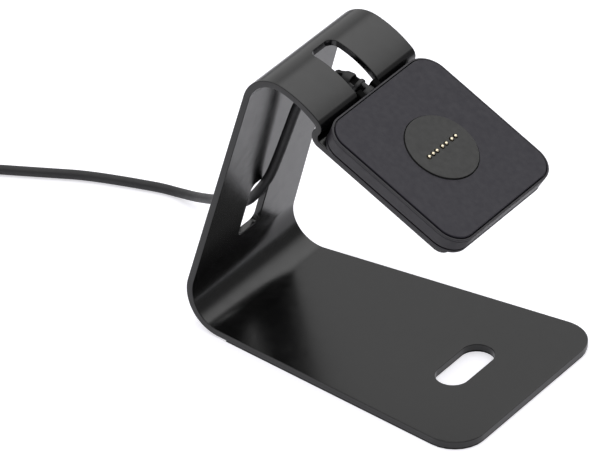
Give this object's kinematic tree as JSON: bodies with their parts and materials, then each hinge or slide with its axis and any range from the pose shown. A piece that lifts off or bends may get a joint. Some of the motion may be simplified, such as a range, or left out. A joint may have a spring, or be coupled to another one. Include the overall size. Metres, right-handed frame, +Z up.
{
  "type": "phone charging dock",
  "caption": "Desk dock bent from one black steel sheet, with a sloping contact charging pad on its arm and a cable led through slots to a plug.",
  "frame": {"origin": "on the surface the dock stands on, under the middle of the dock without its cable", "axes": "+X from the upright to the front edge, +Y across, +Z up"},
  "size_m": [0.3408, 0.1239, 0.1097],
  "materials": {
    "black_coat": "satin",
    "black_rubber": "matte",
    "black_moulding": "matte",
    "cover_moulding": "matte",
    "disc_moulding": "matte",
    "cable_sleeve": "satin",
    "gold_plate": "polished",
    "brass": "satin",
    "steel": "satin",
    "board": "matte",
    "white_plastic": "satin"
  },
  "bodies": {
    "dock": {"stand": "black_coat", "base_mat": "black_rubber", "pad_housing": "black_moulding", "pad_cover": "cover_moulding", "contact_disc": "disc_moulding", "circuit_board": "board", "strain_relief": "black_moulding", "screw_1": "steel", "screw_2": "steel", "screw_3": "steel", "screw_4": "steel", "cable": "cable_sleeve", "cable_coil": "cable_sleeve", "cable_tail": "cable_sleeve", "cable_tie": "black_rubber", "usb_overmould": "black_moulding", "usb_shell": "steel", "usb_tongue": "white_plastic", "pin_barrel_1": "brass", "pin_barrel_2": "brass", "pin_barrel_3": "brass", "pin_barrel_4": "brass", "pin_barrel_5": "brass", "pin_barrel_6": "brass", "pin_barrel_7": "brass", "pin_spring_1": "steel", "pin_spring_2": "steel", "pin_spring_3": "steel", "pin_spring_4": "steel", "pin_spring_5": "steel", "pin_spring_6": "steel", "pin_spring_7": "steel"},
    "contact_1": {"contact_pin_1": "gold_plate"},
    "contact_2": {"contact_pin_2": "gold_plate"},
    "contact_3": {"contact_pin_3": "gold_plate"},
    "contact_4": {"contact_pin_4": "gold_plate"},
    "contact_5": {"contact_pin_5": "gold_plate"},
    "contact_6": {"contact_pin_6": "gold_plate"},
    "contact_7": {"contact_pin_7": "gold_plate"}
  },
  "joints": [
    {"name": "contact_slide_1", "type": "slide", "parent": "dock", "child": "contact_1", "axis": [-0.4374, 0, -0.8993], "range_m": [0, 0.0006], "stiffness_N_per_m": 300, "springref_m": -0.0006, "deforming": ["pin_spring_1"]},
    {"name": "contact_slide_2", "type": "slide", "parent": "dock", "child": "contact_2", "axis": [-0.4374, 0, -0.8993], "range_m": [0, 0.0006], "stiffness_N_per_m": 300, "springref_m": -0.0006, "deforming": ["pin_spring_2"]},
    {"name": "contact_slide_3", "type": "slide", "parent": "dock", "child": "contact_3", "axis": [-0.4374, 0, -0.8993], "range_m": [0, 0.0006], "stiffness_N_per_m": 300, "springref_m": -0.0006, "deforming": ["pin_spring_3"]},
    {"name": "contact_slide_4", "type": "slide", "parent": "dock", "child": "contact_4", "axis": [-0.4374, 0, -0.8993], "range_m": [0, 0.0006], "stiffness_N_per_m": 300, "springref_m": -0.0006, "deforming": ["pin_spring_4"]},
    {"name": "contact_slide_5", "type": "slide", "parent": "dock", "child": "contact_5", "axis": [-0.4374, 0, -0.8993], "range_m": [0, 0.0006], "stiffness_N_per_m": 300, "springref_m": -0.0006, "deforming": ["pin_spring_5"]},
    {"name": "contact_slide_6", "type": "slide", "parent": "dock", "child": "contact_6", "axis": [-0.4374, 0, -0.8993], "range_m": [0, 0.0006], "stiffness_N_per_m": 300, "springref_m": -0.0006, "deforming": ["pin_spring_6"]},
    {"name": "contact_slide_7", "type": "slide", "parent": "dock", "child": "contact_7", "axis": [-0.4374, 0, -0.8993], "range_m": [0, 0.0006], "stiffness_N_per_m": 300, "springref_m": -0.0006, "deforming": ["pin_spring_7"]}
  ]
}
